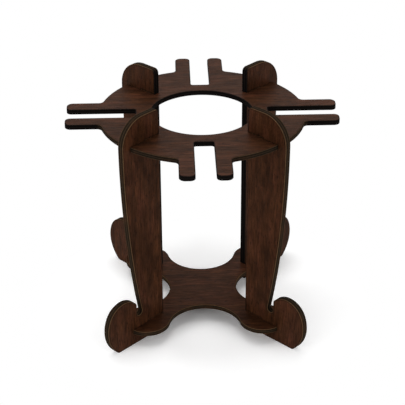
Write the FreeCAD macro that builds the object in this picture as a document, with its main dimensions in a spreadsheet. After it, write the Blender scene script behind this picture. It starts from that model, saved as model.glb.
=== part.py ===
import FreeCAD, Part
import math
import os
import Sketcher

# Flat-pack wooden caddy with a bottle hole in its middle and four open hanging slots round it.
# Six sheet pieces: a pierced top plate, a lobed base plate and four upright legs that slide in
# radially from outside and cross-lap both plates. Z is up, the floor is z = 0, and the origin lies
# on the floor under the middle of the bottle hole. The hanging slots face +X, +Y, -X and -Y.

VECTOR = FreeCAD.Vector
# Numbers that a constraint uses for the sketch's origin and axes, and for a curve's points
ORIGIN = LEVEL_AXIS = -1
UPRIGHT_AXIS = LEVEL_AXIS - 1
START, END, CENTRE = range(1, 4)
FOURFOLD = 4
DIAGONAL = 45.0

SIZES = (
    ("plate_thickness", 5.0, "sheet of the two level plates"),
    ("leg_thickness", 6.5, "sheet of the upright legs"),
    ("lap_clearance", 0.15, "play on each side of every cross-lap"),
    ("cut_overrun", 8.0, "how far an open cut starts outside the edge it opens"),
    ("ring_top", 218.0, "height of the top plate's upper face"),
    ("ring_radius", 99.5, "disc of the top plate"),
    ("hole_radius", 49.5, "bottle hole in the top plate"),
    ("ring_lap_radius", 80.0, "where the top plate's leg slots end"),
    ("finger_reach", 131.0, "axis to the finger tips"),
    ("pair_half_width", 24.2, "slot axis to a finger's outer side"),
    ("tip_radius", 6.0, "outer corner of a finger tip"),
    ("root_radius", 5.0, "hollow corner between finger and disc"),
    ("stem_slot_width", 18.6, "hanging slot between two fingers"),
    ("stem_slot_end", 63.7, "axis to the closed end of the hanging slot"),
    ("stem_slot_corner", 2.5, "corners at the closed end"),
    ("mouth_radius", 5.0, "rounding where the slot opens at the tips"),
    ("base_top", 18.0, "height of the base plate's upper face"),
    ("lobe_centre", 81.5, "axis to the middle of a base lobe"),
    ("lobe_radius", 23.0, "round end of a base lobe"),
    ("waist_radius", 36.0, "hollow side between two base lobes"),
    ("base_lap_radius", 83.0, "where the base plate's leg slots end"),
    ("leg_inner", 61.5, "axis to the straight inner edge of a leg"),
    ("crest_rise", 26.0, "how far the legs stand above the top plate"),
    ("leg_outer", 108.5, "axis to the outer edge below the crest"),
    ("crest_radius", 27.0, "large outer corner of the crest"),
    ("crest_corner", 4.5, "small inner corner of the crest"),
    ("neck_outer", 90.5, "axis to the outer edge at the bottom of the slit"),
    ("slit_width", 7.5, "slit between leg and foot lobe"),
    ("slit_floor", 30.5, "height of the slit's lower end"),
    ("slit_corner", 3.5, "rounding of the foot lobe at the slit"),
    ("foot_height", 53.3, "top of the foot lobe"),
    ("foot_crown", 114.5, "axis to the middle of the foot's round top"),
    ("foot_crown_radius", 20.8, "round top of the foot"),
    ("foot_side_radius", 35.4, "outer side of the foot"),
    ("foot_toe", 122.4, "axis to where the foot leaves the floor"),
    ("toe_corner", 3.5, "rounding of the foot at the floor"),
)
size = {name: value for name, value, note in SIZES}

doc = FreeCAD.newDocument("bottle_caddy")
sheet = doc.addObject("Spreadsheet::Sheet", "Sizes")
for row, (name, value, note) in enumerate(SIZES, 1):
    sheet.set(f"A{row}", note)
    sheet.set(f"B{row}", str(value))
    sheet.setAlias(f"B{row}", name)
doc.recompute()


def new_body(label):
    body = doc.addObject("PartDesign::Body", label)
    body.Label = label
    return body


def origin_feature(body, role):
    return next(item for item in body.Origin.OriginFeatures if item.Role == role)


def new_sketch(body, name, role="XY_Plane", turn=0.0):
    """Empty sketch on one of the body's own planes, turned in that plane by degrees."""
    sketch = body.newObject("Sketcher::SketchObject", name)
    sketch.AttachmentSupport = [(origin_feature(body, role), "")]
    sketch.MapMode = "FlatFace"
    sketch.AttachmentOffset = FreeCAD.Placement(VECTOR(), FreeCAD.Rotation(VECTOR(0, 0, 1), turn))
    doc.recompute()
    return sketch


def line(start, end):
    return Part.LineSegment(VECTOR(*start, 0), VECTOR(*end, 0))


def circle(centre, radius):
    return Part.Circle(VECTOR(*centre, 0), VECTOR(0, 0, 1), radius)


def arc(centre, radius, first, last):
    """Counter-clockwise arc between two directions in degrees."""
    return Part.ArcOfCircle(circle(centre, radius), math.radians(first), math.radians(last))


def direction(start, end):
    return math.degrees(math.atan2(end[1] - start[1], end[0] - start[0]))


def tie(sketch, kind, *where):
    sketch.addConstraint(Sketcher.Constraint(kind, *where))


def bind(sketch, label, formula, kind, *where):
    """Driving dimension, taken from the drawn geometry and bound to a formula of the sheet."""
    if kind == "Radius":
        drawn = sketch.Geometry[where[0]].Radius
    else:
        first, second = sketch.getPoint(*where[:2]), sketch.getPoint(*where[2:])
        drawn = second.x - first.x if kind == "DistanceX" else second.y - first.y
    index = sketch.addConstraint(Sketcher.Constraint(kind, *where, drawn))
    sketch.renameConstraint(index, label)
    sketch.setExpression("Constraints." + label, formula)


def settled(sketch):
    """The sketch, once its constraints are known to fit together."""
    doc.recompute()
    if sketch.solve() != 0:
        raise ValueError(sketch.Name + " is not solved")
    return sketch


def pad(body, sketch, name, thickness, both_ways=False):
    feature = body.newObject("PartDesign::Pad", name)
    feature.Profile = sketch
    feature.setExpression("Length", thickness)
    feature.Midplane = both_ways
    doc.recompute()
    return feature


def cut_through(body, sketch, name):
    """Pocket through the whole body, both ways from its sketch, that has to remove something."""
    before = body.Shape.Volume
    feature = body.newObject("PartDesign::Pocket", name)
    feature.Profile = sketch
    feature.Type = "ThroughAll"
    feature.Midplane = True
    doc.recompute()
    if not body.Shape.Volume < before:
        raise ValueError(name + " removes nothing")
    return feature


def repeat_around(body, feature, name):
    pattern = body.newObject("PartDesign::PolarPattern", name)
    pattern.Originals = [feature]
    pattern.Axis = (origin_feature(body, "Z_Axis"), [""])
    pattern.Angle = 360
    pattern.Occurrences = FOURFOLD
    body.Tip = pattern
    doc.recompute()
    return pattern


def rectangle(sketch, low, high):
    """Upright rectangle of four lines, numbered from the lower one, with its sides left to bind."""
    corners = (low, (high[0], low[1]), high, (low[0], high[1]))
    for index, corner in enumerate(corners):
        sketch.addGeometry(line(corner, corners[(index + 1) % 4]))
    for index in range(4):
        tie(sketch, "Coincident", index, END, (index + 1) % 4, START)
        tie(sketch, "Horizontal" if index % 2 == 0 else "Vertical", index)


def leg_slots(body, lap_radius, rim, rim_formula):
    """Open slots for the four legs, cut inward from the plate's rim along its diagonals."""
    sketch = new_sketch(body, body.Label + "_leg_slot_sketch", turn=DIAGONAL)
    half = size["leg_thickness"] / 2 + size["lap_clearance"]
    half_formula = "Sizes.leg_thickness / 2 + Sizes.lap_clearance"
    rectangle(sketch, (size[lap_radius], -half), (rim + size["cut_overrun"], half))
    bind(sketch, "slot_end", f"Sizes.{lap_radius}", "DistanceX", ORIGIN, START, 0, START)
    bind(sketch, "past_rim", rim_formula + " + Sizes.cut_overrun", "DistanceX", ORIGIN, START, 1, START)
    bind(sketch, "right_half", half_formula, "DistanceY", 0, START, ORIGIN, START)
    bind(sketch, "left_half", half_formula, "DistanceY", ORIGIN, START, 2, START)
    slot = cut_through(body, settled(sketch), body.Label + "_leg_slot")
    repeat_around(body, slot, body.Label + "_leg_slots")


# Top plate: disc, four pairs of fingers, hanging slots, bottle hole, leg slots

def finger_pair_sketch(body):
    """Block that carries two fingers: round outer corners, hollow corners against the disc."""
    sketch = new_sketch(body, "finger_pair_sketch")
    disc, reach, side = size["ring_radius"], size["finger_reach"], size["pair_half_width"]
    tip, root, inner = size["tip_radius"], size["root_radius"], size["stem_slot_end"]
    root_y = side + root
    root_x = math.sqrt((disc + root) ** 2 - root_y ** 2)
    on_disc = (root_x * disc / (disc + root), root_y * disc / (disc + root))
    towards_disc = direction((root_x, root_y), (0, 0))
    low, high = (on_disc[0], -on_disc[1]), on_disc
    sketch.addGeometry([
        line((inner, low[1]), low),
        arc((root_x, -root_y), root, 90, -towards_disc),
        line((root_x, -side), (reach - tip, -side)),
        arc((reach - tip, -side + tip), tip, 270, 360),
        line((reach, -side + tip), (reach, side - tip)),
        arc((reach - tip, side - tip), tip, 0, 90),
        line((reach - tip, side), (root_x, side)),
        arc((root_x, root_y), root, towards_disc, 270),
        line(high, (inner, high[1])),
        line((inner, high[1]), (inner, low[1])),
    ])
    rim = sketch.addGeometry(circle((0, 0), disc), True)
    tie(sketch, "Coincident", rim, CENTRE, ORIGIN, START)
    tie(sketch, "Coincident", 0, END, 1, END)
    tie(sketch, "Tangent", 1, START, 2, START)
    tie(sketch, "Tangent", 2, END, 3, START)
    tie(sketch, "Tangent", 3, END, 4, START)
    tie(sketch, "Tangent", 4, END, 5, START)
    tie(sketch, "Tangent", 5, END, 6, START)
    tie(sketch, "Tangent", 6, END, 7, END)
    tie(sketch, "Coincident", 7, START, 8, START)
    tie(sketch, "Coincident", 8, END, 9, START)
    tie(sketch, "Coincident", 9, END, 0, START)
    tie(sketch, "Tangent", 1, END, rim)
    tie(sketch, "Tangent", 7, START, rim)
    for level in (0, 2, 6, 8):
        tie(sketch, "Horizontal", level)
    tie(sketch, "Vertical", 9)
    tie(sketch, "Equal", 3, 5)
    tie(sketch, "Equal", 1, 7)
    tie(sketch, "Symmetric", 4, START, 4, END, LEVEL_AXIS)
    bind(sketch, "disc", "Sizes.ring_radius", "Radius", rim)
    bind(sketch, "root", "Sizes.root_radius", "Radius", 1)
    bind(sketch, "tip", "Sizes.tip_radius", "Radius", 3)
    bind(sketch, "reach", "Sizes.finger_reach", "DistanceX", ORIGIN, START, 4, START)
    bind(sketch, "inner", "Sizes.stem_slot_end", "DistanceX", ORIGIN, START, 9, START)
    bind(sketch, "pair_width", "2 * Sizes.pair_half_width", "DistanceY", 2, START, 6, END)
    return settled(sketch)


def stem_slot_sketch(body):
    """Hanging slot: square closed end with small corners, mouth rounded outward at the tips."""
    sketch = new_sketch(body, "stem_slot_sketch")
    inner, corner, half = size["stem_slot_end"], size["stem_slot_corner"], size["stem_slot_width"] / 2
    mouth, reach = size["mouth_radius"], size["finger_reach"]
    flare_x, flare_y, past = reach - mouth, half + mouth, reach + size["cut_overrun"]
    sketch.addGeometry([
        line((inner + corner, -half), (flare_x, -half)),
        arc((flare_x, -flare_y), mouth, 0, 90),
        line((reach, -flare_y), (past, -flare_y)),
        line((past, -flare_y), (past, flare_y)),
        line((past, flare_y), (reach, flare_y)),
        arc((flare_x, flare_y), mouth, 270, 360),
        line((flare_x, half), (inner + corner, half)),
        arc((inner + corner, half - corner), corner, 90, 180),
        line((inner, half - corner), (inner, -half + corner)),
        arc((inner + corner, -half + corner), corner, 180, 270),
    ])
    tie(sketch, "Tangent", 0, END, 1, END)
    tie(sketch, "Coincident", 1, START, 2, START)
    tie(sketch, "Coincident", 2, END, 3, START)
    tie(sketch, "Coincident", 3, END, 4, START)
    tie(sketch, "Coincident", 4, END, 5, END)
    tie(sketch, "Tangent", 5, START, 6, START)
    tie(sketch, "Tangent", 6, END, 7, START)
    tie(sketch, "Tangent", 7, END, 8, START)
    tie(sketch, "Tangent", 8, END, 9, START)
    tie(sketch, "Tangent", 9, END, 0, START)
    for level in (0, 2, 4, 6):
        tie(sketch, "Horizontal", level)
    tie(sketch, "Vertical", 3)
    tie(sketch, "Horizontal", 1, START, 1, CENTRE)
    tie(sketch, "Horizontal", 5, END, 5, CENTRE)
    tie(sketch, "Equal", 1, 5)
    tie(sketch, "Equal", 7, 9)
    tie(sketch, "Symmetric", 8, START, 8, END, LEVEL_AXIS)
    tie(sketch, "Vertical", 2, START, 4, END)
    bind(sketch, "closed_end", "Sizes.stem_slot_end", "DistanceX", ORIGIN, START, 8, START)
    bind(sketch, "corner", "Sizes.stem_slot_corner", "Radius", 7)
    bind(sketch, "mouth", "Sizes.mouth_radius", "Radius", 1)
    bind(sketch, "tips", "Sizes.finger_reach", "DistanceX", ORIGIN, START, 1, START)
    bind(sketch, "past_tips", "Sizes.finger_reach + Sizes.cut_overrun",
         "DistanceX", ORIGIN, START, 3, START)
    bind(sketch, "width", "Sizes.stem_slot_width", "DistanceY", 0, START, 6, END)
    return settled(sketch)


def round_sketch(body, name, alias):
    sketch = new_sketch(body, name)
    sketch.addGeometry(circle((0, 0), size[alias]))
    tie(sketch, "Coincident", 0, CENTRE, ORIGIN, START)
    bind(sketch, "radius", "Sizes." + alias, "Radius", 0)
    return settled(sketch)


def build_top_plate():
    body = new_body("top_plate")
    pad(body, round_sketch(body, "disc_sketch", "ring_radius"), "disc", "Sizes.plate_thickness")
    pair = pad(body, finger_pair_sketch(body), "finger_pair", "Sizes.plate_thickness")
    repeat_around(body, pair, "finger_pairs")
    stem_slot = cut_through(body, stem_slot_sketch(body), "stem_slot")
    repeat_around(body, stem_slot, "stem_slots")
    leg_slots(body, "ring_lap_radius", size["ring_radius"], "Sizes.ring_radius")
    cut_through(body, round_sketch(body, "bottle_hole_sketch", "hole_radius"), "bottle_hole")
    body.setExpression("Placement.Base.z", "Sizes.ring_top - Sizes.plate_thickness")
    return body


# Base plate: four round lobes on the diagonals, joined by hollow arcs that run into them smoothly

def base_outline_sketch(body):
    sketch = new_sketch(body, "base_outline_sketch")
    lobe, waist = size["lobe_radius"], size["waist_radius"]
    across = size["lobe_centre"] / math.sqrt(2)
    waist_centre = across + math.sqrt((lobe + waist) ** 2 - across ** 2)
    lean = direction((across, across), (waist_centre, 0))
    for turn in range(FOURFOLD):
        angle = 90.0 * turn
        middle = math.radians(DIAGONAL + angle)
        side = math.radians(angle + 90)
        lobe_at = (size["lobe_centre"] * math.cos(middle), size["lobe_centre"] * math.sin(middle))
        waist_at = (waist_centre * math.cos(side), waist_centre * math.sin(side))
        sketch.addGeometry(arc(lobe_at, lobe, angle + lean, angle + 90 - lean))
        sketch.addGeometry(arc(waist_at, waist, angle + 180 + (90 + lean), angle + 360 - (90 + lean)))
    for turn in range(FOURFOLD):
        lobe_arc, waist_arc, next_lobe = 2 * turn, 2 * turn + 1, (2 * turn + 2) % 8
        tie(sketch, "Tangent", lobe_arc, END, waist_arc, END)
        tie(sketch, "Tangent", waist_arc, START, next_lobe, START)
        if turn:
            tie(sketch, "Equal", 0, lobe_arc)
            tie(sketch, "Equal", 1, waist_arc)
    tie(sketch, "Symmetric", 0, CENTRE, 2, CENTRE, UPRIGHT_AXIS)
    tie(sketch, "Symmetric", 0, CENTRE, 4, CENTRE, ORIGIN, START)
    tie(sketch, "Symmetric", 0, CENTRE, 6, CENTRE, LEVEL_AXIS)
    bind(sketch, "lobe", "Sizes.lobe_radius", "Radius", 0)
    bind(sketch, "waist", "Sizes.waist_radius", "Radius", 1)
    bind(sketch, "lobe_x", "Sizes.lobe_centre / sqrt(2)", "DistanceX", ORIGIN, START, 0, CENTRE)
    bind(sketch, "lobe_y", "Sizes.lobe_centre / sqrt(2)", "DistanceY", ORIGIN, START, 0, CENTRE)
    return settled(sketch)


def build_base_plate():
    body = new_body("base_plate")
    pad(body, base_outline_sketch(body), "base_outline", "Sizes.plate_thickness")
    rim = size["lobe_centre"] + size["lobe_radius"]
    leg_slots(body, "base_lap_radius", rim, "Sizes.lobe_centre + Sizes.lobe_radius")
    body.setExpression("Placement.Base.z", "Sizes.base_top - Sizes.plate_thickness")
    return body


# Legs: one profile, drawn in the plane of radius and height

def leg_outline_sketch(body):
    """Straight inner edge, rounded crest, tapering outer edge, slit, and a foot lobe outside it."""
    sketch = new_sketch(body, body.Label + "_outline_sketch", "XZ_Plane")
    inner, outer = size["leg_inner"], size["leg_outer"]
    top = size["ring_top"] + size["crest_rise"]
    corner, crest = size["crest_corner"], size["crest_radius"]
    shoulder = top - crest
    slit = size["slit_width"] / 2
    slit_z = size["slit_floor"] + slit
    fall = shoulder - slit_z
    step = outer - size["neck_outer"]
    flank = (fall ** 2 + step ** 2) / (2 * step)
    lean = math.degrees(math.asin(fall / flank))
    slit_x = size["neck_outer"] + slit * math.cos(math.radians(lean))
    wall = slit_x + slit
    crown, crown_z = size["foot_crown_radius"], size["foot_height"] - size["foot_crown_radius"]
    crown_x = size["foot_crown"]
    bend = size["slit_corner"]
    bend_x = wall + bend
    bend_z = crown_z + math.sqrt((crown - bend) ** 2 - (crown_x - bend_x) ** 2)
    side, toe, toe_x = size["foot_side_radius"], size["toe_corner"], size["foot_toe"]
    side_x, side_z = foot_side_centre((crown_x, crown_z), side - crown, (toe_x, toe), side - toe)
    meet = direction((side_x, side_z), (crown_x, crown_z))
    bend_meet = direction((crown_x, crown_z), (bend_x, bend_z))
    toe_meet = direction((side_x, side_z), (toe_x, toe))
    sketch.addGeometry([
        line((inner, 0), (inner, top - corner)),
        arc((inner + corner, top - corner), corner, 90, 180),
        line((inner + corner, top), (outer - crest, top)),
        arc((outer - crest, shoulder), crest, 0, 90),
        arc((outer - flank, shoulder), flank, -lean, 0),
        arc((slit_x, slit_z), slit, 180 - lean, 360),
        line((wall, slit_z), (wall, bend_z)),
        arc((bend_x, bend_z), bend, bend_meet, 180),
        arc((crown_x, crown_z), crown, meet, bend_meet),
        arc((side_x, side_z), side, toe_meet, meet),
        arc((toe_x, toe), toe, 270, 360 + toe_meet),
        line((toe_x, 0), (inner, 0)),
    ])
    tie(sketch, "Vertical", 0)
    tie(sketch, "PointOnObject", 0, START, LEVEL_AXIS)
    tie(sketch, "Tangent", 0, END, 1, END)
    tie(sketch, "Tangent", 1, START, 2, START)
    tie(sketch, "Horizontal", 2)
    tie(sketch, "Tangent", 2, END, 3, END)
    tie(sketch, "Tangent", 3, START, 4, END)
    tie(sketch, "Horizontal", 3, START, 3, CENTRE)
    tie(sketch, "Tangent", 4, START, 5, START)
    tie(sketch, "Tangent", 5, END, 6, START)
    tie(sketch, "Vertical", 6)
    tie(sketch, "Tangent", 6, END, 7, END)
    tie(sketch, "Tangent", 7, START, 8, END)
    tie(sketch, "Tangent", 8, START, 9, END)
    tie(sketch, "Tangent", 9, START, 10, END)
    tie(sketch, "Tangent", 10, START, 11, START)
    tie(sketch, "Coincident", 11, END, 0, START)
    tie(sketch, "Horizontal", 11)
    bind(sketch, "inner_edge", "Sizes.leg_inner", "DistanceX", ORIGIN, START, 0, START)
    bind(sketch, "crest_height", "Sizes.ring_top + Sizes.crest_rise", "DistanceY", ORIGIN, START, 2, START)
    bind(sketch, "crest_corner", "Sizes.crest_corner", "Radius", 1)
    bind(sketch, "crest", "Sizes.crest_radius", "Radius", 3)
    bind(sketch, "outer_edge", "Sizes.leg_outer", "DistanceX", ORIGIN, START, 3, START)
    bind(sketch, "neck", "Sizes.neck_outer", "DistanceX", ORIGIN, START, 4, START)
    bind(sketch, "slit", "Sizes.slit_width / 2", "Radius", 5)
    bind(sketch, "slit_height", "Sizes.slit_floor + Sizes.slit_width / 2",
         "DistanceY", ORIGIN, START, 5, CENTRE)
    bind(sketch, "slit_corner", "Sizes.slit_corner", "Radius", 7)
    bind(sketch, "crown", "Sizes.foot_crown_radius", "Radius", 8)
    bind(sketch, "crown_x", "Sizes.foot_crown", "DistanceX", ORIGIN, START, 8, CENTRE)
    bind(sketch, "crown_z", "Sizes.foot_height - Sizes.foot_crown_radius",
         "DistanceY", ORIGIN, START, 8, CENTRE)
    bind(sketch, "foot_side", "Sizes.foot_side_radius", "Radius", 9)
    bind(sketch, "toe_corner", "Sizes.toe_corner", "Radius", 10)
    bind(sketch, "toe", "Sizes.foot_toe", "DistanceX", ORIGIN, START, 11, START)
    return settled(sketch)


def foot_side_centre(crown_at, from_crown, toe_at, from_toe):
    """Centre of the foot's side arc, at given distances from the centres of crown and toe."""
    span = math.dist(crown_at, toe_at)
    along = (from_crown ** 2 - from_toe ** 2 + span ** 2) / (2 * span)
    away = math.sqrt(from_crown ** 2 - along ** 2)
    unit_x, unit_z = (toe_at[0] - crown_at[0]) / span, (toe_at[1] - crown_at[1]) / span
    return crown_at[0] + along * unit_x + away * unit_z, crown_at[1] + along * unit_z - away * unit_x


def lap_notch_sketch(body, name, plate_top, lap_radius):
    """Notch from the leg's inner edge: the plate lies on its lower face, with play above it."""
    sketch = new_sketch(body, body.Label + "_" + name + "_sketch", "XZ_Plane")
    start = size["leg_inner"] - size["cut_overrun"]
    end = size[lap_radius] + size["lap_clearance"]
    high = size[plate_top] + size["lap_clearance"]
    low = size[plate_top] - size["plate_thickness"]
    rectangle(sketch, (start, low), (end, high))
    bind(sketch, "before_edge", "Sizes.leg_inner - Sizes.cut_overrun",
         "DistanceX", ORIGIN, START, 0, START)
    bind(sketch, "notch_end", f"Sizes.{lap_radius} + Sizes.lap_clearance",
         "DistanceX", ORIGIN, START, 1, START)
    bind(sketch, "seat", f"Sizes.{plate_top} - Sizes.plate_thickness",
         "DistanceY", ORIGIN, START, 0, START)
    bind(sketch, "roof", f"Sizes.{plate_top} + Sizes.lap_clearance",
         "DistanceY", ORIGIN, START, 2, START)
    return cut_through(body, settled(sketch), body.Label + "_" + name)


def build_leg(label, turn):
    body = new_body(label)
    pad(body, leg_outline_sketch(body), label + "_outline", "Sizes.leg_thickness", both_ways=True)
    lap_notch_sketch(body, "ring_notch", "ring_top", "ring_lap_radius")
    lap_notch_sketch(body, "base_notch", "base_top", "base_lap_radius")
    body.Placement = FreeCAD.Placement(VECTOR(), FreeCAD.Rotation(VECTOR(0, 0, 1), turn))
    return body


pieces = [build_top_plate(), build_base_plate()]
for leg, quarter in (("leg_back_right", 0), ("leg_back_left", 1), ("leg_front_left", 2),
                     ("leg_front_right", 3)):
    pieces.append(build_leg(leg, DIAGONAL + 90.0 * quarter))
doc.recompute()

for item in doc.Objects:
    if "Invalid" in item.State or "Error" in item.State:
        raise ValueError(item.Name + " could not be built")
for piece in pieces:
    if piece.Shape.isNull() or not piece.Shape.isValid():
        raise ValueError(piece.Label + " has no valid shape")

os.makedirs("parts", exist_ok=True)
for piece in pieces:
    piece.Shape.exportStep(os.path.join("parts", piece.Label + ".step"))
    box = piece.Shape.BoundBox
    print(f"{piece.Label}: {len(piece.Shape.Solids)} solid, {piece.Shape.Volume / 1000:.1f} cm3, "
          f"x {box.XMin:.1f} to {box.XMax:.1f}, y {box.YMin:.1f} to {box.YMax:.1f}, "
          f"z {box.ZMin:.1f} to {box.ZMax:.1f}")
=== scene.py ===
import math

import bmesh
import bpy
from mathutils import Matrix, Vector


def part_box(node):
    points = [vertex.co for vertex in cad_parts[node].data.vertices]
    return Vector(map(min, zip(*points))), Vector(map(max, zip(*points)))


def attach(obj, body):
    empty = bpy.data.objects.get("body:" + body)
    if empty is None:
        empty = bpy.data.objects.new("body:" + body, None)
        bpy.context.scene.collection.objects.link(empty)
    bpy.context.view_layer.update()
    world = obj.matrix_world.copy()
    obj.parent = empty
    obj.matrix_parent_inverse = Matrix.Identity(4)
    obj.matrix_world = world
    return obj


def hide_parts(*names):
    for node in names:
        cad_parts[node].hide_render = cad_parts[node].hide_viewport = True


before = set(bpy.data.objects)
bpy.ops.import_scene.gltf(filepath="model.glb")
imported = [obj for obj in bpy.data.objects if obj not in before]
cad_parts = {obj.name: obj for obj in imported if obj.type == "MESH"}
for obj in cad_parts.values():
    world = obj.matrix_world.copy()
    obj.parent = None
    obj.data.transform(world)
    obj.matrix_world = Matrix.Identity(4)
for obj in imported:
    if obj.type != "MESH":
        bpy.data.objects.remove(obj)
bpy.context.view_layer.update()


scene = bpy.context.scene
mm = 0.001
white = (1.0, 1.0, 1.0, 1.0)


def srgb(code):  # hex colour to the linear values that a socket takes
    parts = [int(code[at:at + 2], 16) / 255 for at in (1, 3, 5)]
    return (*[p / 12.92 if p <= 0.04045 else ((p + 0.055) / 1.055) ** 2.4 for p in parts], 1.0)


# Adds a node with its settings and gives its outputs; an input is a value or a socket to link from
def addNode(tree, kind, inputs=None, **settings):
    node = tree.nodes.new(kind)
    for name, value in settings.items():
        setattr(node, name, value)
    for name, value in (inputs or {}).items():
        if isinstance(value, bpy.types.NodeSocket):
            tree.links.new(value, node.inputs[name])
        else:
            node.inputs[name].default_value = value
    return node.outputs


def newMaterial(name):
    material = bpy.data.materials.new(name)
    material.use_nodes = True
    material.node_tree.nodes.clear()
    return material


# Six pieces of laser-cut plywood: along is the face veneer's grain, through points out of the
# sheet, rim is how far the laser's singeing creeps onto the faces, and the last list gives where
# the cut edge is painted black, partly deeper scorch and partly painted shade, by its distance from
# the object's axis or from the cross the fingers lie along
level = (1.0, 0.0, 0.0)
upright = (0.0, 0.0, 1.0)
aslant = math.sqrt(0.5)   # the legs stand on the diagonals
# the legs' inner edges are painted black, partly deeper scorch and partly painted shade
legCut = {"rim": 1.5 * mm, "blackScorchAndShade": (("fromAxis", 66 * mm, 62 * mm),)}   # its inner edge
sheetPieces = {
    "top_plate": {"along": level, "through": upright, "seed": 0.31, "rim": 1.2 * mm,
                  # the fingers, the hole and the slots between the fingers are painted black,
                  # partly as deeper scorch and partly as painted shade
                  "blackScorchAndShade": (("fromAxis", 97 * mm, 104 * mm), ("fromAxis", 52 * mm, 51 * mm),
                              ("fromCross", 16 * mm, 13 * mm))},
    "base_plate": {"along": level, "through": upright, "seed": 0.77, "rim": 0.9 * mm},
    "leg_front_left": {"along": upright, "through": (aslant, -aslant, 0.0), "seed": 1.24, **legCut},
    "leg_front_right": {"along": upright, "through": (aslant, aslant, 0.0), "seed": 1.89, **legCut},
    "leg_back_left": {"along": upright, "through": (aslant, aslant, 0.0), "seed": 2.53, **legCut},
    "leg_back_right": {"along": upright, "through": (aslant, -aslant, 0.0), "seed": 3.16, **legCut},
}


# Object coordinates turned to run along the grain, across it and through the sheet, from its middle
def sheetPlace(tree, lie):
    place = addNode(tree, "ShaderNodeTexCoord")["Object"]
    return addNode(tree, "ShaderNodeMapping", {
        "Vector": place, "Rotation": lie["turn"].to_euler(),
        "Location": -(lie["turn"] @ lie["middle"])})[0]


# One noise for each mark, stretched to its real size in mm, as 0 below low and its share above high
def drawMarks(tree, place, seed, marks):
    drawn = {}
    for name, mark in marks.items():
        stretched = addNode(tree, "ShaderNodeMapping", {
            "Vector": place, "Scale": [1 / (size * mm) for size in mark["size"]]})[0]
        noise = addNode(tree, "ShaderNodeTexNoise", {
            "Vector": stretched, "W": seed, "Scale": 1.0, "Detail": mark["detail"],
            "Distortion": mark.get("bend", 0.0)}, noise_dimensions="4D")[0]
        drawn[name] = addNode(tree, "ShaderNodeMapRange", {
            "Value": noise, "From Min": mark["low"], "From Max": mark["high"],
            "To Max": mark.get("share", 1.0)})[0]
    return drawn


# Lays colours over each other; a colour Mix has its factor at 0, colours at 6 and 7, result at 2
def layColours(tree, ground, layers):
    for share, over in layers:
        ground = addNode(tree, "ShaderNodeMix", {0: share, 6: ground, 7: over}, data_type="RGBA")[2]
    return ground


# Birch veneer wiped with thin walnut stain and satin oil: soft streaks of deeper and redder brown
# along the grain, fine fibres, short open pores and a low sheen; the laser singed its rim
stainedVeneer = {
    "stain": "#382012",
    "stainDeep": "#24140B",
    "stainWarm": "#432519",
    "pore": "#150B06",
    "singed": "#0C0805",
    "marks": {   # size is length, width and depth
        "figure": {"size": (45, 6, 6), "detail": 5.0, "bend": 0.8, "low": 0.30, "high": 0.66},
        "warmth": {"size": (35, 9, 9), "detail": 4.0, "bend": 0.6, "low": 0.46, "high": 0.76,
                   "share": 0.7},
        "blotch": {"size": (13, 7, 7), "detail": 3.0, "low": 0.3, "high": 0.7},
        # real fibres and pores are a tenth as wide and wouldn't show
        "fibres": {"size": (14, 1.5, 1.5), "detail": 3.0, "low": 0.3, "high": 0.7},
        "pore": {"size": (5, 1.1, 1.1), "detail": 1.0, "low": 0.58, "high": 0.68, "share": 0.7},
    },
    "fibreTone": (0.64, 1.36),    # how much darker and lighter the fibres are than the stain
    "blotchTone": (0.74, 1.30),
    "singedShare": 0.8,
    "singedFade": 1.2,            # above 1 it fades faster near the cut
    "sheen": (0.44, 0.56),        # roughness, from the pale fibres to the dark ones
    "ior": 1.5,
    "specular": 0.05,
    "specularTint": "#FFB98C",    # the oil film is stained too
    "bump": 0.12 * mm,
    "bumpStrength": 0.6,
}


def stainedVeneerMaterial(name, lie):
    look = stainedVeneer
    material = newMaterial(name)
    tree = material.node_tree
    marks = drawMarks(tree, sheetPlace(tree, lie), lie["seed"], look["marks"])
    colour = layColours(tree, srgb(look["stainDeep"]), (
        (marks["figure"], srgb(look["stain"])),
        (marks["warmth"], srgb(look["stainWarm"])),
        (marks["pore"], srgb(look["pore"]))))
    fibreTone = addNode(tree, "ShaderNodeMapRange", {
        "Value": marks["fibres"],
        "To Min": look["fibreTone"][0], "To Max": look["fibreTone"][1]})[0]
    blotchTone = addNode(tree, "ShaderNodeMapRange", {
        "Value": marks["blotch"],
        "To Min": look["blotchTone"][0], "To Max": look["blotchTone"][1]})[0]
    tone = addNode(tree, "ShaderNodeMath", {0: fibreTone, 1: blotchTone}, operation="MULTIPLY")[0]
    toned = addNode(tree, "ShaderNodeVectorMath", {0: colour, "Scale": tone}, operation="SCALE")[0]
    rim = addNode(tree, "ShaderNodeAttribute", attribute_name="rim")["Fac"]
    fading = addNode(tree, "ShaderNodeMath", {0: rim, 1: look["singedFade"]}, operation="POWER")[0]
    singed = addNode(tree, "ShaderNodeMath", {0: fading, 1: look["singedShare"]},
                     operation="MULTIPLY")[0]
    colour = layColours(tree, toned, ((singed, srgb(look["singed"])),))
    sheen = addNode(tree, "ShaderNodeMapRange", {
        "Value": marks["fibres"], "To Min": look["sheen"][1], "To Max": look["sheen"][0]})[0]
    height = addNode(tree, "ShaderNodeMath", {0: marks["fibres"], 1: marks["pore"]},
                     operation="SUBTRACT")[0]
    bump = addNode(tree, "ShaderNodeBump", {
        "Height": height, "Distance": look["bump"], "Strength": look["bumpStrength"]})[0]
    shader = addNode(tree, "ShaderNodeBsdfPrincipled", {
        "Base Color": colour, "Roughness": sheen, "IOR": look["ior"],
        "Specular IOR Level": look["specular"], "Specular Tint": srgb(look["specularTint"]),
        "Normal": bump})[0]
    addNode(tree, "ShaderNodeOutputMaterial", {"Surface": shader})
    return material
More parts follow.
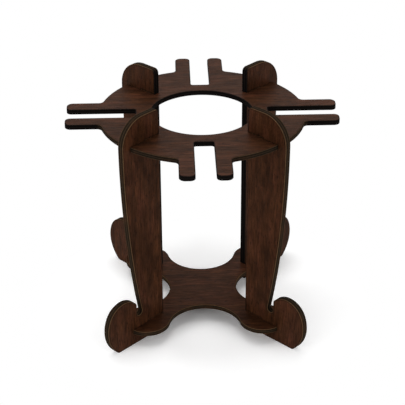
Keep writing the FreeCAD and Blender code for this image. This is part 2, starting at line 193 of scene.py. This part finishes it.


# Laser-cut edge of birch ply: five plies in two shades of soot brown, quite matt, with fine lines
# where the beam ran through, and a paler line on the arrises, partly rubbed back by hands and
# partly a painted highlight
scorchedPly = {
    "soot": "#19120C",
    "sootPale": "#2C2319",         # the plies whose grain runs along the cut
    "brown": "#382416",            # where the soot is thin
    # black where the edge is darkened by place: partly deeper scorch, partly painted shade
    "blackScorchAndShade": "#060404",
    "blackScorchAndShadePale": "#100D0B",
    # the pale line on the arrises: partly wear rubbed back by hands, partly a painted highlight
    "rubbedAndHighlight": "#6B4D34",
    "plies": 5,
    "plyTurn": (0.35, 0.65),       # how softly one ply turns into the next
    "marks": {
        # real laser lines are finer and wouldn't show
        "kerf": {"size": (0.8, 0.8, 14), "detail": 2.0, "low": 0.35, "high": 0.65},
        "thin": {"size": (16, 16, 5), "detail": 3.0, "low": 0.5, "high": 0.7, "share": 0.6},
        # varies the pale arris line along the edge, both its wear and its painted highlight
        "wear": {"size": (28, 28, 28), "detail": 2.0, "low": 0.3, "high": 0.6},
    },
    "kerfTone": (0.85, 1.15),
    # how strong the pale arris line is, painted highlight and wear together
    "rubbedAndHighlightShare": (0.55, 0.95),   # from the least worn to the most worn stretches
    "roughness": 0.85,
    "ior": 1.5,
    "specular": 0.02,
    "bump": 0.10 * mm,
    "bumpStrength": 0.6,
}


def scorchedPlyMaterial(name, lie):
    look = scorchedPly
    material = newMaterial(name)
    tree = material.node_tree
    place = sheetPlace(tree, lie)
    marks = drawMarks(tree, place, lie["seed"], look["marks"])
    depth = addNode(tree, "ShaderNodeSeparateXYZ", {"Vector": place})["Z"]
    # banded is 1 in the middle ply, 0 in the next one out, and 1 again in the outer one
    ply = addNode(tree, "ShaderNodeMath", {0: depth, 1: look["plies"] / lie["thickness"], 2: 1.0},
                  operation="MULTIPLY_ADD")[0]
    banded = addNode(tree, "ShaderNodeMath", {0: ply, 1: 1.0}, operation="PINGPONG")[0]
    pale = addNode(tree, "ShaderNodeMapRange", {
        "Value": banded, "From Min": look["plyTurn"][0], "From Max": look["plyTurn"][1]})[0]
    colour = layColours(tree, srgb(look["soot"]), (
        (pale, srgb(look["sootPale"])),
        (marks["thin"], srgb(look["brown"]))))
    # share of the pale arris line, partly wear and partly a painted highlight, varied along the
    # edge
    arrisLineShare = addNode(tree, "ShaderNodeMapRange", {
        "Value": marks["wear"],
        "To Min": look["rubbedAndHighlightShare"][0], "To Max": look["rubbedAndHighlightShare"][1]})[0]
    arris = addNode(tree, "ShaderNodeAttribute", attribute_name="rubbedAndHighlight")["Fac"]
    rubbedAndHighlight = addNode(tree, "ShaderNodeMath", {0: arris, 1: arrisLineShare}, operation="MULTIPLY")[0]
    colour = layColours(tree, colour, ((rubbedAndHighlight, srgb(look["rubbedAndHighlight"])),))
    # black by place, partly deeper scorch and partly painted shade: how far each spot is from the
    # axis and from the fingers' cross
    spot = addNode(tree, "ShaderNodeTexCoord")["Object"]
    flat = addNode(tree, "ShaderNodeVectorMath", {0: spot, 1: (1, 1, 0)}, operation="MULTIPLY")[0]
    fromAxis = addNode(tree, "ShaderNodeVectorMath", {0: flat}, operation="LENGTH")["Value"]
    sides = addNode(tree, "ShaderNodeVectorMath", {0: spot}, operation="ABSOLUTE")[0]
    side = addNode(tree, "ShaderNodeSeparateXYZ", {"Vector": sides})
    fromCross = addNode(tree, "ShaderNodeMath", {0: side["X"], 1: side["Y"]},
                        operation="MINIMUM")[0]
    away = {"fromAxis": fromAxis, "fromCross": fromCross}
    black = layColours(tree, srgb(look["blackScorchAndShade"]), ((pale, srgb(look["blackScorchAndShadePale"])),))
    for measure, start, full in lie.get("blackScorchAndShade", ()):
        scorchAndShadeShare = addNode(tree, "ShaderNodeMapRange", {
            "Value": away[measure], "From Min": start, "From Max": full})[0]
        colour = layColours(tree, colour, ((scorchAndShadeShare, black),))
    tone = addNode(tree, "ShaderNodeMapRange", {
        "Value": marks["kerf"],
        "To Min": look["kerfTone"][0], "To Max": look["kerfTone"][1]})[0]
    toned = addNode(tree, "ShaderNodeVectorMath", {0: colour, "Scale": tone}, operation="SCALE")[0]
    bump = addNode(tree, "ShaderNodeBump", {
        "Height": marks["kerf"], "Distance": look["bump"], "Strength": look["bumpStrength"]})[0]
    shader = addNode(tree, "ShaderNodeBsdfPrincipled", {
        "Base Color": toned, "Roughness": look["roughness"], "IOR": look["ior"],
        "Specular IOR Level": look["specular"], "Normal": bump})[0]
    addNode(tree, "ShaderNodeOutputMaterial", {"Surface": shader})
    return material


# Each piece is its CAD solid with sanded arrises and a narrow singed rim round its faces
sheetCut = {
    "mergeWithin": 0.002 * mm,
    "flatWithin": math.radians(0.4),
    # plates are divided by these two planes, so that no face has a hole; a little askew,
    # so that they miss the corners
    "quarters": ((1, 0.013, 0), (0.017, -1, 0)),
    "arrisFrom": math.radians(35.0),     # edges sharper than this are sanded
    "arris": 0.45 * mm,
    "arrisSteps": 2,
    "sideFrom": 0.999,                   # cosine between a face and the sheet's own sides
    "smoothUpTo": math.radians(32.0),
}


def onSide(face, through):  # whether it is part of one of the sheet's two large sides
    return abs(face.normal @ through) > sheetCut["sideFrom"]


def sandedSheet(name, through, rimWidth):
    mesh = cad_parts[name].data.copy()
    mesh.materials.clear()
    form = bmesh.new()
    form.from_mesh(mesh)
    bmesh.ops.remove_doubles(form, verts=form.verts, dist=sheetCut["mergeWithin"])
    bmesh.ops.dissolve_limit(form, angle_limit=sheetCut["flatWithin"],
                             verts=form.verts, edges=form.edges)
    for across in sheetCut["quarters"]:
        bmesh.ops.bisect_plane(form, geom=form.verts[:] + form.edges[:] + form.faces[:],
                               dist=sheetCut["mergeWithin"], plane_co=(0, 0, 0), plane_no=across)
    arrises = [e for e in form.edges if e.is_manifold and e.is_convex
               and e.calc_face_angle() > sheetCut["arrisFrom"]]
    sanded = bmesh.ops.bevel(form, geom=arrises, offset=sheetCut["arris"],
                             segments=sheetCut["arrisSteps"], profile=0.5, affect="EDGES",
                             clamp_overlap=True, material=-1)["faces"]
    rim = form.verts.layers.float.new("rim")
    # marks the arrises for the pale line, partly wear and partly a painted highlight
    rubbedAndHighlight = form.verts.layers.float.new("rubbedAndHighlight")
    arrisFaces = set(sanded)
    sideFaces = [f for f in form.faces if f not in arrisFaces and onSide(f, through)]
    for face in form.faces:
        face.material_index = 1
    for face in sideFaces:
        face.material_index = 0
    for vert in form.verts:
        vert[rim] = 1.0
        vert[rubbedAndHighlight] = 1.0 if all(f in arrisFaces for f in vert.link_faces) else 0.0
    bmesh.ops.inset_region(form, faces=sideFaces, thickness=rimWidth,
                           use_boundary=True, use_even_offset=True)
    for vert in form.verts:
        if all(onSide(f, through) for f in vert.link_faces):
            vert[rim] = 0.0
    form.to_mesh(mesh)
    form.free()
    for polygon in mesh.polygons:
        polygon.use_smooth = True
    mesh.set_sharp_from_angle(angle=sheetCut["smoothUpTo"])
    return mesh


def camelName(node):  # leg_front_left becomes legFrontLeft
    first, *rest = node.split("_")
    return first + "".join(word.capitalize() for word in rest)


# Each piece is dressed, and both its materials are told how its sheet lies
for node, sheet in sheetPieces.items():
    along = Vector(sheet["along"])
    through = Vector(sheet["through"])
    low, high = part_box(node)
    mesh = sandedSheet(node, through, sheet["rim"])
    depths = [vert.co @ through for vert in mesh.vertices]
    lie = {**sheet, "turn": Matrix((along, through.cross(along), through)),
           "middle": (low + high) / 2, "thickness": max(depths) - min(depths)}
    mesh.materials.append(stainedVeneerMaterial("walnutStainedVeneer_" + node, lie))
    mesh.materials.append(scorchedPlyMaterial("scorchedPlyEdge_" + node, lie))
    piece = bpy.data.objects.new(camelName(node), mesh)
    scene.collection.objects.link(piece)
    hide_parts(node)
    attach(piece, "root")
    print(f"{piece.name}: {len(mesh.polygons)} faces, sheet {lie['thickness'] / mm:.1f} mm")


# Matt white paper that keeps the shadow near the object and is plain white further out
paperFloor = {
    "colour": "#F2F2F1",
    "halfSize": 6.0,
    "seenColour": (1.2, 1.2, 1.2, 1.0),    # brighter to look at than it lights the object
    "whiteFrom": 0.10,                     # metres from the object's middle
    "whiteFull": 0.17,
}
# White to look at, and a plain grey light on everything
studioWorld = {"seen": 1.0, "light": 0.3}
softboxes = {
    "topSoftbox": {"power": 19.0, "size": 1.5, "place": (-0.15, 0.35, 1.5)},
    "leftSoftbox": {"power": 16.0, "size": 1.0, "place": (-1.2, -1.0, 0.4)},
    "rightSoftbox": {"power": 15.0, "size": 1.0, "place": (1.2, -1.0, 0.4)},
}
softboxAim = (0.0, 0.0, 0.1)


# 1 for what the camera sees, straight on, mirrored or through something clear; 0 for lighting
def seenDirectly(tree):
    ray = addNode(tree, "ShaderNodeLightPath")
    mirrored = addNode(tree, "ShaderNodeMath", {0: ray["Is Camera Ray"], 1: ray["Is Glossy Ray"]},
                       operation="MAXIMUM")[0]
    return addNode(tree, "ShaderNodeMath", {0: mirrored, 1: ray["Is Transmission Ray"]},
                   operation="MAXIMUM")[0]


def mattPaperMaterial():
    material = newMaterial("mattWhitePaper")
    tree = material.node_tree
    place = addNode(tree, "ShaderNodeTexCoord")["Object"]
    away = addNode(tree, "ShaderNodeVectorMath", {0: place}, operation="LENGTH")["Value"]
    plain = addNode(tree, "ShaderNodeMapRange", {
        "Value": away, "From Min": paperFloor["whiteFrom"], "From Max": paperFloor["whiteFull"]})[0]
    seen = seenDirectly(tree)
    share = addNode(tree, "ShaderNodeMath", {0: seen, 1: plain}, operation="MULTIPLY")[0]
    colour = layColours(tree, srgb(paperFloor["colour"]), ((seen, paperFloor["seenColour"]),))
    paper = addNode(tree, "ShaderNodeBsdfDiffuse", {"Color": colour})[0]
    glow = addNode(tree, "ShaderNodeEmission", {"Color": white})[0]
    mixed = addNode(tree, "ShaderNodeMixShader", {0: share, 1: paper, 2: glow})[0]
    addNode(tree, "ShaderNodeOutputMaterial", {"Surface": mixed})
    return material


form = bmesh.new()
bmesh.ops.create_grid(form, x_segments=1, y_segments=1, size=paperFloor["halfSize"])
floorMesh = bpy.data.meshes.new("paperFloor")
form.to_mesh(floorMesh)
form.free()
floorMesh.materials.append(mattPaperMaterial())
floor = bpy.data.objects.new("paperFloor", floorMesh)
scene.collection.objects.link(floor)

world = bpy.data.worlds.new("whiteStudio")
scene.world = world
world.use_nodes = True
worldTree = world.node_tree
worldTree.nodes.clear()
strength = addNode(worldTree, "ShaderNodeMapRange", {
    "Value": seenDirectly(worldTree),
    "To Min": studioWorld["light"], "To Max": studioWorld["seen"]})[0]
backdrop = addNode(worldTree, "ShaderNodeBackground", {"Color": white, "Strength": strength})[0]
addNode(worldTree, "ShaderNodeOutputWorld", {"Surface": backdrop})

for name, softbox in softboxes.items():
    light = bpy.data.lights.new(name, "AREA")
    light.energy = softbox["power"]
    light.size = softbox["size"]
    lamp = bpy.data.objects.new(name, light)
    lamp.location = softbox["place"]
    lamp.rotation_euler = (Vector(softboxAim) - lamp.location).to_track_quat("-Z", "Y").to_euler()
    scene.collection.objects.link(lamp)
print("studio set")


# Camera at the photograph's viewing angle
cameraSet = {
    "place": (-0.0316, -1.1412, 0.7603),
    "lens": 116.32,
    "sensor": 36.0,
    "heading": math.radians(1.590),      # turned clockwise from +Y
    "tilt": math.radians(29.371),        # looking down
    "roll": math.radians(-0.333),
    "clipStart": 0.05,
    "clipEnd": 50.0,
}
camera = bpy.data.cameras.new("camera")
camera.lens = cameraSet["lens"]
camera.sensor_width = cameraSet["sensor"]
camera.clip_start = cameraSet["clipStart"]
camera.clip_end = cameraSet["clipEnd"]
holder = bpy.data.objects.new("camera", camera)
holder.matrix_world = (Matrix.Translation(cameraSet["place"])
                       @ Matrix.Rotation(-cameraSet["heading"], 4, "Z")
                       @ Matrix.Rotation(math.pi / 2 - cameraSet["tilt"], 4, "X")
                       @ Matrix.Rotation(cameraSet["roll"], 4, "Z"))
scene.collection.objects.link(holder)
scene.camera = holder
scene.view_settings.view_transform = "Standard"
print("camera set")
